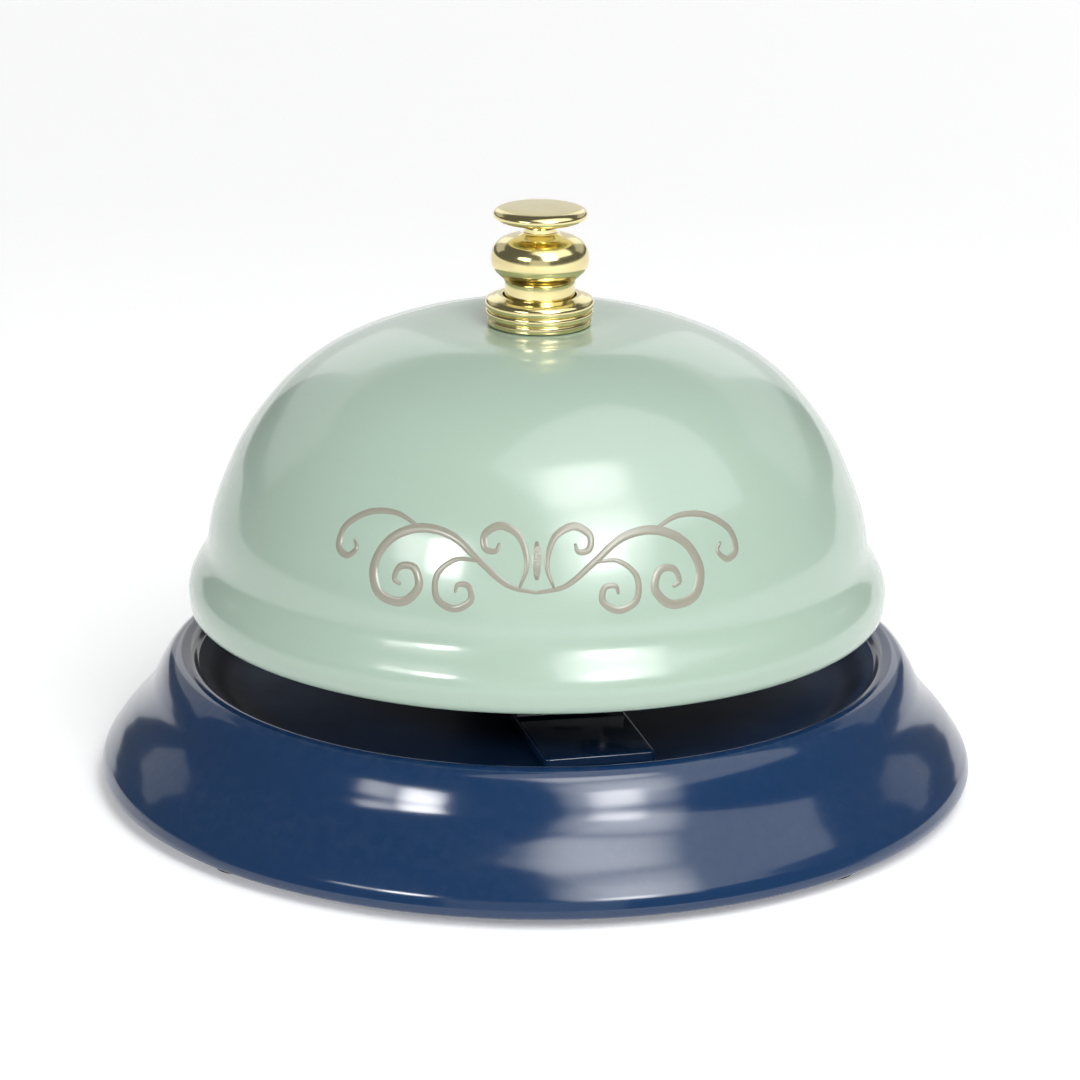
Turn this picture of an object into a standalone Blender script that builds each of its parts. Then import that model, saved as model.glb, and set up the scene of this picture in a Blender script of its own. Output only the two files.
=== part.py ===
"""Desk call bell: a painted bell on a dished base, rung by a push knob through a lever hammer.

Metres, +Z up, origin on the axis at the level the rubber feet stand on.
The strap, yoke, lever and pin are laid out in a frame turned about +Z by STRAP_TURN:
local X runs along the hammer arm, local -Y along the front end of the strap.
"""
import math

import bmesh
import bpy
from mathutils import Matrix, Vector

# Fits
GAP = 0.0003                    # between faces that touch, and round pins in their bores
SLIDE_GAP = 0.0003              # round the plunger neck in its bore
STRIKE_GAP = 0.0004             # hammer to bell wall with the plunger held right down

# Base pan
SKIRT_LIFT = 0.0008             # pan edge above the table
BASE_RADIUS = 0.04245
BASE_SHEET = 0.0008
RIM_INNER_RADIUS = 0.0329
RIM_HEIGHT = 0.0119             # crest of the rim above the pan edge
DISH_DEPTH = 0.0039             # crest of the rim down to the dish floor
DISH_FLOOR_RADIUS = 0.0284
FLANGE_WIDTH = 0.0058           # turned-in edge that carries the feet

# Bell
BELL_RADIUS = 0.0337
BELL_SHEET = 0.0009
BELL_LIP_Z = 0.0166             # lower edge above the pan edge
BELL_SEAT_Z = 0.0443            # top seat above the pan edge

# Strap, yoke and lever
STRAP_TURN = math.radians(14.0)
STRAP_LENGTH = 0.0500
STRAP_WIDTH = 0.0106
STRAP_SHEET = 0.0011
YOKE_SPAN = 0.0150              # across the outsides of the legs
YOKE_HEIGHT = 0.0155            # strap to the top of the yoke plate
YOKE_SHEET = 0.0009
YOKE_TAB = 0.0065
RIVET_OFFSET = 0.0112           # of the two yoke rivets from the axis
RIVET_RADIUS = 0.0012
PIVOT_OFFSET = 0.0042           # hammer pin from the plunger axis
PIVOT_RISE = 0.0071             # hammer pin above the strap
PIN_RADIUS = 0.0008
KNUCKLE_RADIUS = 0.0019
ARM_WIDTH = 0.0050
ARM_RISE = 0.0015               # top of the arm above the pin
ARM_SHEET = 0.0012
ARM_TAIL = 0.0027               # arm past the plunger axis
HEAD_RADIUS = 0.0032
HEAD_HEIGHT = 0.0055

# Plunger
STROKE = 0.0015
KNOB_DISC_RADIUS = 0.0045
KNOB_BULB_RADIUS = 0.0047
KNOB_NECK_RADIUS = 0.00336
KNOB_TOP_RISE = 0.01145         # top of the knob above the bell seat
KNOB_NECK_DEPTH = 0.0005        # neck end below the bell seat
ROD_RADIUS = 0.0010
ROD_GRIP = 0.0062               # rod inside the knob
CLIP_LAND = 0.0010              # clip outside the rod
CLIP_SHEET = 0.0005

# Post, collar and nuts
POST_RADIUS = 0.0026
BARREL_WALL = 0.00065
BARREL_DEPTH = 0.0074           # barrel bottom below the bell seat
SHOULDER_LAND = 0.0016          # shoulder outside the stem
SHOULDER_SHEET = 0.0012
POST_NUT_WALL = 0.0011          # nut outside its bore, at the flats
POST_NUT_HEIGHT = 0.0019
SEAT_NUT_WALL = 0.0014
SEAT_NUT_HEIGHT = 0.0024
WASHER_LAND = 0.0022            # washer outside its hole
WASHER_SHEET = 0.0008
COLLAR_WALL = 0.0006            # collar outside its thread
COLLAR_HEIGHT = 0.0025
COLLAR_LID = 0.0006

# Return spring
SPRING_WIRE = 0.00045
SPRING_RADIUS = 0.0024
SPRING_TURNS = 5.5

# Feet
FOOT_RADIUS = 0.0020
FOOT_STEM_RADIUS = 0.0011
FOOT_COUNT = 4

# Levels and radii that follow from the sizes above
SEAT_Z = SKIRT_LIFT + BELL_SEAT_Z
FLOOR_Z = SKIRT_LIFT + RIM_HEIGHT - DISH_DEPTH
STRAP_Z = FLOOR_Z + GAP + STRAP_SHEET
YOKE_Z = STRAP_Z + YOKE_HEIGHT
PIVOT_Z = STRAP_Z + PIVOT_RISE
HALF_SWING = math.atan(STROKE / 2 / PIVOT_OFFSET)
ROD_TIP_Z = PIVOT_Z + STROKE / 2 + ARM_RISE / math.cos(HALF_SWING) + GAP
BARREL_BORE = KNOB_NECK_RADIUS + SLIDE_GAP
BARREL_RADIUS = BARREL_BORE + BARREL_WALL
THREAD_BORE = BARREL_RADIUS + GAP
STEM_BORE = POST_RADIUS + GAP
COLLAR_RADIUS = THREAD_BORE + COLLAR_WALL
WASHER_RADIUS = THREAD_BORE + WASHER_LAND
SHOULDER_RADIUS = POST_RADIUS + SHOULDER_LAND
CLIP_RADIUS = ROD_RADIUS + CLIP_LAND
BARREL_FLOOR_Z = SEAT_Z - BARREL_DEPTH + BELL_SHEET
POST_NUT_Z = YOKE_Z - YOKE_SHEET - GAP - POST_NUT_HEIGHT
POST_END_Z = POST_NUT_Z - 0.0004
NECK_END_Z = SEAT_Z - KNOB_NECK_DEPTH
COLLAR_Z = SEAT_Z + GAP
COLLAR_TOP_Z = COLLAR_Z + COLLAR_HEIGHT

STRAP_FRAME = Matrix.Rotation(STRAP_TURN, 4, "Z")
LEVER_FRAME = (STRAP_FRAME @ Matrix.Translation((PIVOT_OFFSET, 0, PIVOT_Z))
               @ Matrix.Rotation(HALF_SWING, 4, "Y"))

PAINT_MINT = ((0.49, 0.63, 0.52), 0.30, 0.0)
PAINT_NAVY = ((0.024, 0.053, 0.127), 0.38, 0.0)
BRASS = ((0.80, 0.68, 0.33), 0.16, 1.0)
ZINC = ((0.62, 0.63, 0.64), 0.35, 1.0)
STEEL = ((0.50, 0.50, 0.51), 0.30, 1.0)
FIBRE = ((0.25, 0.10, 0.05), 0.80, 0.0)
RUBBER = ((0.02, 0.02, 0.02), 0.85, 0.0)

PARTS = bpy.data.collections.new("service_bell")
CUTTERS = bpy.data.collections.new("cutters")


def clear_scene():
    for old in list(bpy.data.objects):
        bpy.data.objects.remove(old, do_unlink=True)
    for group in (PARTS, CUTTERS):
        bpy.context.scene.collection.children.link(group)


def finish(obj, look, angle=35.0):
    """Give the object its own material and shade its round faces smooth."""
    colour, roughness, metallic = look
    material = bpy.data.materials.new(obj.name)
    material.use_nodes = True
    shader = material.node_tree.nodes["Principled BSDF"]
    shader.inputs["Base Color"].default_value = (*colour, 1.0)
    shader.inputs["Roughness"].default_value = roughness
    shader.inputs["Metallic"].default_value = metallic
    obj.data.materials.append(material)
    if obj.type == "MESH":
        obj.data.shade_smooth()
        obj.data.set_sharp_from_angle(angle=math.radians(angle))


def mesh_object(name, bm, group=PARTS, frame=Matrix.Identity(4)):
    mesh = bpy.data.meshes.new(name)
    bm.to_mesh(mesh)
    bm.free()
    obj = bpy.data.objects.new(name, mesh)
    obj.matrix_world = frame
    group.objects.link(obj)
    return obj


def turned(name, profile, steps=40, closed=True, group=PARTS, frame=Matrix.Identity(4)):
    """Turn an (r, z) profile about local Z; a closed one may start and end on the axis."""
    bm = bmesh.new()
    verts = [bm.verts.new((r, 0, z)) for r, z in profile]
    for first, second in zip(verts, verts[1:]):
        bm.edges.new((first, second))
    if closed and profile[0][0] > 0:
        bm.edges.new((verts[-1], verts[0]))
    obj = mesh_object(name, bm, group, frame)
    screw = obj.modifiers.new("turn", "SCREW")
    screw.axis = "Z"
    screw.angle = 2 * math.pi
    screw.steps = steps
    screw.render_steps = steps
    screw.use_merge_vertices = True
    screw.merge_threshold = 0.00002
    return obj


def box(name, size, centre, frame=Matrix.Identity(4), bevel=0.0, group=PARTS):
    """Box of the given size about a centre in the frame, with rounded edges if asked."""
    bm = bmesh.new()
    bmesh.ops.create_cube(bm, size=1.0, matrix=Matrix.Diagonal((*size, 1.0)))
    bmesh.ops.translate(bm, verts=bm.verts, vec=Vector(centre))
    obj = mesh_object(name, bm, group, frame)
    if bevel:
        edge = obj.modifiers.new("edges", "BEVEL")
        edge.width = bevel
        edge.segments = 2
    return obj


def rod(name, radius, start, end, frame=Matrix.Identity(4), sides=24, group=CUTTERS):
    """Plain cylinder between two points of the frame."""
    first, last = Vector(start), Vector(end)
    span = last - first
    place = Matrix.Translation((first + last) / 2) @ span.to_track_quat("Z", "Y").to_matrix().to_4x4()
    bm = bmesh.new()
    bmesh.ops.create_cone(bm, cap_ends=True, segments=sides, radius1=radius, radius2=radius,
                          depth=span.length, matrix=place)
    return mesh_object(name, bm, group, frame)


def combine(target, other, operation):
    """Boolean with a piece that stays in the cutters collection."""
    step = target.modifiers.new(operation.lower(), "BOOLEAN")
    step.operation = operation
    step.solver = "EXACT"
    step.object = other
    if other.name not in CUTTERS.objects:
        PARTS.objects.unlink(other)
        CUTTERS.objects.link(other)
    other.hide_render = True
    other.display_type = "WIRE"


def solidify(obj, thickness, offset):
    shell = obj.modifiers.new("sheet", "SOLIDIFY")
    shell.thickness = thickness
    shell.offset = offset
    shell.use_even_offset = True


def bell_outline():
    """Outer (r, z) of the bell from its lower edge to the hole in its seat."""
    height = BELL_SEAT_Z - BELL_LIP_Z
    shape = ((1.0, 0.0), (1.0, 0.05), (0.991, 0.10), (0.973, 0.155), (0.953, 0.205),
             (0.945, 0.255), (0.932, 0.34), (0.911, 0.412), (0.887, 0.484), (0.860, 0.556),
             (0.824, 0.628), (0.780, 0.700), (0.725, 0.775), (0.655, 0.845), (0.580, 0.900),
             (0.485, 0.950), (0.390, 0.985), (0.300, 1.003), (0.215, 1.003), (0.160, 1.0))
    outline = [(BELL_RADIUS * r, SKIRT_LIFT + BELL_LIP_Z + height * z) for r, z in shape]
    return outline + [(THREAD_BORE, SEAT_Z)]


def bell_wall_inside(z):
    """Inner radius of the bell wall at a height."""
    outline = bell_outline()
    for (low_r, low_z), (high_r, high_z) in zip(outline, outline[1:]):
        if low_z <= z <= high_z:
            share = (z - low_z) / (high_z - low_z)
            slope = (low_r - high_r) / (high_z - low_z)
            return low_r + (high_r - low_r) * share - BELL_SHEET * math.hypot(1, slope)
    return BELL_RADIUS - BELL_SHEET


def hammer_reach():
    """Pin to the head's axis, so that the raised head stops STRIKE_GAP off the bell wall."""
    reach = BELL_RADIUS
    for rise in (0.0, 0.25, 0.5, 0.75, 1.0):
        lift = ARM_RISE + GAP + HEAD_HEIGHT * rise
        swing = Matrix.Rotation(-HALF_SWING, 3, "Y")
        corner = swing @ Vector((0, 0, lift))
        edge = swing @ Vector((HEAD_RADIUS, 0, 0))
        for guess in (0.018, 0.022, 0.024):
            along = swing @ Vector((min(guess, reach), 0, 0))
            height = PIVOT_Z + along.z + corner.z + edge.z
            room = bell_wall_inside(height) - STRIKE_GAP - PIVOT_OFFSET - corner.x - edge.x
            reach = min(reach, room / math.cos(HALF_SWING))
    return reach


def base_outline():
    """Outer (r, z) of the pan from its turned-in edge, over the rim, to the dish centre."""
    crest = RIM_HEIGHT
    step = BASE_RADIUS - RIM_INNER_RADIUS
    skirt = [(BASE_RADIUS - FLANGE_WIDTH, 0.0), (BASE_RADIUS - 0.0009, 0.0),
             (BASE_RADIUS - 0.0002, 0.0003), (BASE_RADIUS, 0.0009)]
    slope = ((0.01, 0.12), (0.045, 0.18), (0.11, 0.265), (0.20, 0.36), (0.31, 0.46),
             (0.42, 0.565), (0.505, 0.67), (0.57, 0.78), (0.64, 0.885), (0.72, 0.965),
             (0.82, 1.0), (0.93, 0.98), (1.0, 0.925))
    side = [(BASE_RADIUS - step * a, crest * b) for a, b in slope]
    floor = crest - DISH_DEPTH
    fall = RIM_INNER_RADIUS - DISH_FLOOR_RADIUS
    dish = [(DISH_FLOOR_RADIUS + fall * 0.75, crest - 0.42 * DISH_DEPTH),
            (DISH_FLOOR_RADIUS + fall * 0.35, crest - 0.84 * DISH_DEPTH),
            (DISH_FLOOR_RADIUS, floor), (DISH_FLOOR_RADIUS * 0.45, floor), (0.0, floor)]
    return [(r, SKIRT_LIFT + z) for r, z in skirt + side + dish]


def rivet_spots():
    return [(0.0, -RIVET_OFFSET), (0.0, RIVET_OFFSET)]


def foot_spots():
    ring = BASE_RADIUS - FLANGE_WIDTH / 2 - FOOT_RADIUS / 4
    turns = [math.radians(45.0) + 2 * math.pi * k / FOOT_COUNT for k in range(FOOT_COUNT)]
    return [(ring * math.cos(turn), ring * math.sin(turn)) for turn in turns]


def build_base():
    shell = turned("base_shell", base_outline()[::-1], steps=56, closed=False)
    solidify(shell, BASE_SHEET, -1.0)
    for index, (x, y) in enumerate(foot_spots()):
        hole = rod(f"foot_hole_{index}", FOOT_STEM_RADIUS + GAP,
                   (x, y, SKIRT_LIFT - 0.001), (x, y, SKIRT_LIFT + 0.002), sides=16)
        combine(shell, hole, "DIFFERENCE")
    for index, (x, y) in enumerate(rivet_spots()):
        hole = rod(f"floor_hole_{index}", RIVET_RADIUS + GAP,
                   (x, y, FLOOR_Z - 0.003), (x, y, FLOOR_Z + 0.001), STRAP_FRAME, sides=16)
        combine(shell, hole, "DIFFERENCE")
    finish(shell, PAINT_NAVY)


def build_feet():
    flange_top = SKIRT_LIFT + BASE_SHEET
    profile = [(0.0, flange_top + GAP + 0.0007), (FOOT_STEM_RADIUS + 0.0001, flange_top + GAP + 0.0006),
               (FOOT_STEM_RADIUS + 0.0006, flange_top + GAP), (FOOT_STEM_RADIUS, flange_top + GAP),
               (FOOT_STEM_RADIUS, SKIRT_LIFT - GAP), (FOOT_RADIUS, SKIRT_LIFT - GAP),
               (FOOT_RADIUS - 0.0003, 0.0), (0.0, 0.0)]
    for index, (x, y) in enumerate(foot_spots()):
        foot = turned(f"foot_{index + 1}", profile, steps=16, frame=Matrix.Translation((x, y, 0)))
        finish(foot, RUBBER)


def build_strap():
    strap = box("bracket_strap", (STRAP_WIDTH, STRAP_LENGTH, STRAP_SHEET),
                (0, 0, STRAP_Z - STRAP_SHEET / 2), STRAP_FRAME, bevel=0.00015)
    for index, (x, y) in enumerate(rivet_spots()):
        hole = rod(f"strap_hole_{index}", RIVET_RADIUS + GAP,
                   (x, y, STRAP_Z - 0.003), (x, y, STRAP_Z + 0.001), STRAP_FRAME, sides=16)
        combine(strap, hole, "DIFFERENCE")
    finish(strap, PAINT_NAVY)


def build_yoke():
    """Inverted U of sheet with its feet turned out along the strap."""
    half = YOKE_SPAN / 2
    foot = STRAP_Z + GAP + YOKE_SHEET
    path = [(-half - YOKE_TAB, foot), (-half, foot), (-half, YOKE_Z), (half, YOKE_Z),
            (half, foot), (half + YOKE_TAB, foot)]
    bm = bmesh.new()
    sides = [[bm.verts.new((x, y, z)) for y, z in path]
             for x in (-STRAP_WIDTH / 2, STRAP_WIDTH / 2)]
    for k in range(len(path) - 1):
        bm.faces.new((sides[0][k], sides[1][k], sides[1][k + 1], sides[0][k + 1]))
    yoke = mesh_object("post_yoke", bm, frame=STRAP_FRAME)
    solidify(yoke, YOKE_SHEET, -1.0)
    cuts = [rod("yoke_pin_hole", PIN_RADIUS + GAP, (PIVOT_OFFSET, -half - 0.002, PIVOT_Z),
                (PIVOT_OFFSET, half + 0.002, PIVOT_Z), STRAP_FRAME, sides=16),
            rod("yoke_post_hole", STEM_BORE, (0, 0, YOKE_Z - 0.003),
                (0, 0, YOKE_Z + 0.001), STRAP_FRAME)]
    for index, (x, y) in enumerate(rivet_spots()):
        cuts.append(rod(f"tab_hole_{index}", RIVET_RADIUS + GAP, (x, y, STRAP_Z - 0.001),
                        (x, y, foot + 0.001), STRAP_FRAME, sides=16))
    for cut in cuts:
        combine(yoke, cut, "DIFFERENCE")
    finish(yoke, ZINC)


def build_rivets():
    """Each rivet holds the yoke and the strap down on the dish floor."""
    head_z = STRAP_Z + GAP + YOKE_SHEET + GAP
    tail_z = FLOOR_Z - BASE_SHEET - GAP
    profile = [(0.0, head_z + 0.0009), (RIVET_RADIUS, head_z + 0.0008),
               (RIVET_RADIUS + 0.0009, head_z + 0.0003), (RIVET_RADIUS + 0.0010, head_z),
               (RIVET_RADIUS, head_z), (RIVET_RADIUS, tail_z), (RIVET_RADIUS + 0.0009, tail_z),
               (RIVET_RADIUS + 0.0006, tail_z - 0.0006), (0.0, tail_z - 0.0007)]
    for name, (x, y) in zip(("yoke_rivet_front", "yoke_rivet_back"), rivet_spots()):
        frame = STRAP_FRAME @ Matrix.Translation((x, y, 0))
        finish(turned(name, profile, steps=20, frame=frame), ZINC)


def build_post():
    """Stem through the yoke, a shoulder on its plate, and a wide barrel that holds the bell."""
    shoulder_z = YOKE_Z + GAP
    barrel_z = SEAT_Z - BARREL_DEPTH
    top_z = COLLAR_TOP_Z - COLLAR_LID - GAP
    bore = ROD_RADIUS + GAP
    profile = [(BARREL_RADIUS, top_z), (BARREL_RADIUS, barrel_z), (POST_RADIUS, barrel_z - 0.0008),
               (POST_RADIUS, shoulder_z + SHOULDER_SHEET),
               (SHOULDER_RADIUS, shoulder_z + SHOULDER_SHEET), (SHOULDER_RADIUS, shoulder_z),
               (POST_RADIUS, shoulder_z), (POST_RADIUS, POST_END_Z), (bore, POST_END_Z),
               (bore, BARREL_FLOOR_Z), (BARREL_BORE, BARREL_FLOOR_Z), (BARREL_BORE, top_z)]
    finish(turned("post_barrel", profile, steps=36), ZINC)


def hex_nut(name, bore, wall, z, height):
    corner = (bore + wall) * 2 / math.sqrt(3)
    bm = bmesh.new()
    bmesh.ops.create_cone(bm, cap_ends=True, segments=6, radius1=corner, radius2=corner,
                          depth=height, matrix=Matrix.Translation((0, 0, z + height / 2)))
    nut = mesh_object(name, bm, frame=STRAP_FRAME)
    edge = nut.modifiers.new("edges", "BEVEL")
    edge.width = 0.0002
    edge.segments = 1
    hole = rod(f"{name}_bore", bore, (0, 0, z - 0.001), (0, 0, z + height + 0.001), sides=28)
    combine(nut, hole, "DIFFERENCE")
    finish(nut, ZINC)


def build_nuts():
    washer_top = SEAT_Z - BELL_SHEET - GAP
    washer = [(THREAD_BORE, washer_top), (WASHER_RADIUS, washer_top),
              (WASHER_RADIUS, washer_top - WASHER_SHEET), (THREAD_BORE, washer_top - WASHER_SHEET)]
    finish(turned("seat_washer", washer, steps=28), FIBRE)
    hex_nut("seat_nut", THREAD_BORE, SEAT_NUT_WALL,
            washer_top - WASHER_SHEET - GAP - SEAT_NUT_HEIGHT, SEAT_NUT_HEIGHT)
    hex_nut("post_nut", STEM_BORE, POST_NUT_WALL, POST_NUT_Z, POST_NUT_HEIGHT)


def build_bell():
    bell = turned("bell_dome", bell_outline()[::-1], steps=56, closed=False)
    solidify(bell, BELL_SHEET, -1.0)
    finish(bell, PAINT_MINT)


def build_collar():
    """Ringed nut that clamps the bell, open on top for the knob's neck."""
    low, top, radius = COLLAR_Z, COLLAR_TOP_Z, COLLAR_RADIUS
    inside = top - COLLAR_LID
    profile = [(BARREL_BORE, top), (radius - 0.0005, top), (radius - 0.00015, top - 0.0001),
               (radius - 0.00005, top - 0.00035), (radius - 0.0001, top - 0.0007),
               (radius - 0.0003, top - 0.0008), (radius - 0.00005, top - 0.00095),
               (radius, top - 0.0013), (radius - 0.00005, low + 0.0006),
               (radius - 0.0003, low + 0.0004), (radius - 0.00035, low), (THREAD_BORE, low),
               (THREAD_BORE, inside), (BARREL_BORE, inside)]
    finish(turned("collar_nut", profile, steps=44), BRASS)


def build_knob():
    """Push knob: a thin disc on a narrow waist, a bulb, and the neck that slides in the barrel."""
    top, disc, bulb, neck = SEAT_Z + KNOB_TOP_RISE, KNOB_DISC_RADIUS, KNOB_BULB_RADIUS, KNOB_NECK_RADIUS
    drops = ((0.55 * disc, 0.00004), (0.80 * disc, 0.00014), (0.94 * disc, 0.00032),
             (disc, 0.00062), (0.96 * disc, 0.00094), (0.84 * disc, 0.00120),
             (0.60 * disc, 0.00142), (0.42 * disc, 0.00165), (0.34 * disc, 0.00195),
             (0.34 * disc, 0.00230), (0.42 * bulb, 0.00272), (0.61 * bulb, 0.00310),
             (0.79 * bulb, 0.00348), (0.92 * bulb, 0.00395), (0.985 * bulb, 0.00450),
             (bulb, 0.00505), (0.985 * bulb, 0.00560), (0.935 * bulb, 0.00610),
             (0.85 * bulb, 0.00655), (0.765 * bulb, 0.00690), (neck + 0.00006, 0.00720),
             (neck, 0.00750))
    profile = [(0.0, top)] + [(r, top - drop) for r, drop in drops]
    bore = ROD_RADIUS + GAP
    grip_z = NECK_END_Z + ROD_GRIP + GAP
    profile += [(neck, NECK_END_Z + 0.0002), (neck - 0.0002, NECK_END_Z), (bore, NECK_END_Z),
                (bore, grip_z), (0.0, grip_z)]
    finish(turned("plunger_knob", profile, steps=40), BRASS)


def build_rod():
    top = NECK_END_Z + ROD_GRIP
    profile = [(0.0, top), (ROD_RADIUS, top), (ROD_RADIUS, ROD_TIP_Z + 0.0008),
               (ROD_RADIUS * 0.87, ROD_TIP_Z + 0.0004), (ROD_RADIUS * 0.5, ROD_TIP_Z + 0.0001),
               (0.0, ROD_TIP_Z)]
    groove_z = POST_END_Z - GAP - CLIP_SHEET
    finish(turned("plunger_rod", profile, steps=20), STEEL)
    bore = ROD_RADIUS + GAP
    clip = [(bore, groove_z + CLIP_SHEET), (CLIP_RADIUS, groove_z + CLIP_SHEET),
            (CLIP_RADIUS, groove_z), (bore, groove_z)]
    finish(turned("rod_clip", clip, steps=24), STEEL)


def build_spring():
    low = BARREL_FLOOR_Z + GAP + SPRING_WIRE / 2
    high = NECK_END_Z - GAP - SPRING_WIRE / 2
    curve = bpy.data.curves.new("return_spring", "CURVE")
    curve.dimensions = "3D"
    curve.bevel_depth = SPRING_WIRE / 2
    curve.bevel_resolution = 1
    curve.use_fill_caps = True
    count = int(SPRING_TURNS * 16)
    line = curve.splines.new("POLY")
    line.points.add(count)
    for k in range(count + 1):
        turn = 2 * math.pi * SPRING_TURNS * k / count
        z = low + (high - low) * k / count
        line.points[k].co = (SPRING_RADIUS * math.cos(turn), SPRING_RADIUS * math.sin(turn), z, 1)
    spring = bpy.data.objects.new("return_spring", curve)
    PARTS.objects.link(spring)
    finish(spring, STEEL)


def build_hammer():
    """Lever on its pin: origin on the pin, local X out to the head, drooping by half the swing."""
    reach = hammer_reach()
    under = ARM_RISE - ARM_SHEET
    length = PIVOT_OFFSET + ARM_TAIL + reach + HEAD_RADIUS * 0.9
    centre = (length / 2 - PIVOT_OFFSET - ARM_TAIL, 0, ARM_RISE - ARM_SHEET / 2)
    arm = box("hammer_arm", (length, ARM_WIDTH, ARM_SHEET), centre, LEVER_FRAME)
    wide = YOKE_SPAN / 2 - YOKE_SHEET - GAP
    knuckle = rod("arm_knuckle", KNUCKLE_RADIUS, (0, -wide, 0), (0, wide, 0), LEVER_FRAME)
    bore = rod("arm_bore", PIN_RADIUS + GAP, (0, -wide - 0.001, 0), (0, wide + 0.001, 0),
               LEVER_FRAME, sides=16)
    hole = rod("arm_hole", RIVET_RADIUS + GAP, (reach, 0, under - 0.001),
               (reach, 0, ARM_RISE + 0.001), LEVER_FRAME, sides=16)
    combine(arm, knuckle, "UNION")
    combine(arm, bore, "DIFFERENCE")
    combine(arm, hole, "DIFFERENCE")
    finish(arm, ZINC)

    low = ARM_RISE + GAP
    high = low + HEAD_HEIGHT
    bore_radius = RIVET_RADIUS + GAP
    profile = [(bore_radius, high), (HEAD_RADIUS - 0.0008, high), (HEAD_RADIUS - 0.00025, high - 0.0003),
               (HEAD_RADIUS, high - 0.0009), (HEAD_RADIUS, low + 0.0009),
               (HEAD_RADIUS - 0.00025, low + 0.0003), (HEAD_RADIUS - 0.0008, low),
               (bore_radius, low)]
    place = LEVER_FRAME @ Matrix.Translation((reach, 0, 0))
    finish(turned("hammer_head", profile, steps=28, frame=place), STEEL)
    profile = [(0.0, high + GAP + 0.0007), (RIVET_RADIUS, high + GAP + 0.0006),
               (RIVET_RADIUS + 0.0007, high + GAP), (RIVET_RADIUS, high + GAP),
               (RIVET_RADIUS, under - GAP), (RIVET_RADIUS + 0.0008, under - GAP),
               (RIVET_RADIUS + 0.0005, under - GAP - 0.0005), (0.0, under - GAP - 0.0006)]
    finish(turned("hammer_rivet", profile, steps=20, frame=place), ZINC)


def build_pin():
    """Hammer pin through both legs, headed at each end."""
    half = YOKE_SPAN / 2 + GAP
    head = 0.0006
    grown = PIN_RADIUS + 0.0007
    profile = [(0.0, half + head), (PIN_RADIUS, half + head), (grown, half), (PIN_RADIUS, half),
               (PIN_RADIUS, -half), (grown, -half), (PIN_RADIUS, -half - head), (0.0, -half - head)]
    place = (STRAP_FRAME @ Matrix.Translation((PIVOT_OFFSET, 0, PIVOT_Z))
             @ Matrix.Rotation(math.pi / 2, 4, "X"))
    finish(turned("hammer_pin", profile, steps=16, frame=place), STEEL)


clear_scene()
build_base()
build_feet()
build_strap()
build_yoke()
build_rivets()
build_post()
build_nuts()
build_bell()
build_collar()
build_knob()
build_rod()
build_spring()
build_hammer()
build_pin()
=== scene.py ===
"""Service bell: enamelled bell and base pan, polished brass collar and push knob, plated works."""
import math

import bmesh
import bpy
from mathutils import Matrix, Vector


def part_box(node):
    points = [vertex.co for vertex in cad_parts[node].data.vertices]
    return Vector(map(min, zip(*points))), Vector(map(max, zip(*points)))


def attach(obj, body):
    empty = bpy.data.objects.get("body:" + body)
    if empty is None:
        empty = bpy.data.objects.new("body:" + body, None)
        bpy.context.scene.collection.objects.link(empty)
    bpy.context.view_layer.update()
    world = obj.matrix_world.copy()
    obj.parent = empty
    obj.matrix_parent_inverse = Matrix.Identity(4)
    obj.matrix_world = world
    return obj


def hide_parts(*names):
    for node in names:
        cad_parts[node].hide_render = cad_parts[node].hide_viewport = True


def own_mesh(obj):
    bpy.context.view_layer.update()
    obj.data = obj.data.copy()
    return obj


bl_info = {
    "name": "Service Bell",
    "version": (1, 0, 0),
    "blender": (4, 5, 0),
    "location": "View3D > Sidebar > Service Bell",
    "description": "Models a desk call bell with an enamelled bell, a base pan and a brass knob",
    "category": "Add Mesh",
}

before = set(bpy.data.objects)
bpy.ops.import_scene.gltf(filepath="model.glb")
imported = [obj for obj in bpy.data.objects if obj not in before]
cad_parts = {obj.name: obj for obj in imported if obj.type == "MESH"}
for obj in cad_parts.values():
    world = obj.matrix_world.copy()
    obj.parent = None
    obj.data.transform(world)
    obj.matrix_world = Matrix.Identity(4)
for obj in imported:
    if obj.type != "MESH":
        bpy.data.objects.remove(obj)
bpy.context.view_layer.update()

MM = 0.001
AROUND = 160                      # steps round the large turned pieces
AROUND_SMALL = 112                # steps round the brass
AROUND_FOOT = 48


def low(node):
    return Vector(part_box(node)[0])


def high(node):
    return Vector(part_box(node)[1])


# Sizes read from the frame

PAN_RADIUS = high("base_shell").x
PAN_EDGE_Z = low("base_shell").z
PAN_CREST_Z = high("base_shell").z
BELL_RADIUS = high("bell_dome").x
BELL_LIP_Z = low("bell_dome").z
COLLAR_RADIUS = high("collar_nut").x
COLLAR_Z = low("collar_nut").z
COLLAR_TOP_Z = high("collar_nut").z
KNOB_TOP_Z = high("plunger_knob").z
KNOB_END_Z = low("plunger_knob").z
FOOT_RADIUS = (high("foot_1").x - low("foot_1").x) / 2

# Sizes that the frame's boxes don't give

GAP = 0.3 * MM                    # between pieces that touch
BELL_HOLE = 4.62 * MM             # radius of the bell's seat hole and of the collar's counterbore
COLLAR_BORE = 3.50 * MM
NECK_RADIUS = 3.36 * MM           # sliding neck of the knob
RIM_WIDTH = 9.55 * MM             # from the pan's edge in to its dish
DISH_DEPTH = 3.9 * MM
DISH_FLAT = 28.4 * MM             # radius of the dish's flat floor
STRAP_SIZE = (10.6 * MM, 50.0 * MM, 1.1 * MM)
STRAP_TURN = math.radians(14.0)


# ---------------------------------------------------------------- settings

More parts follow.
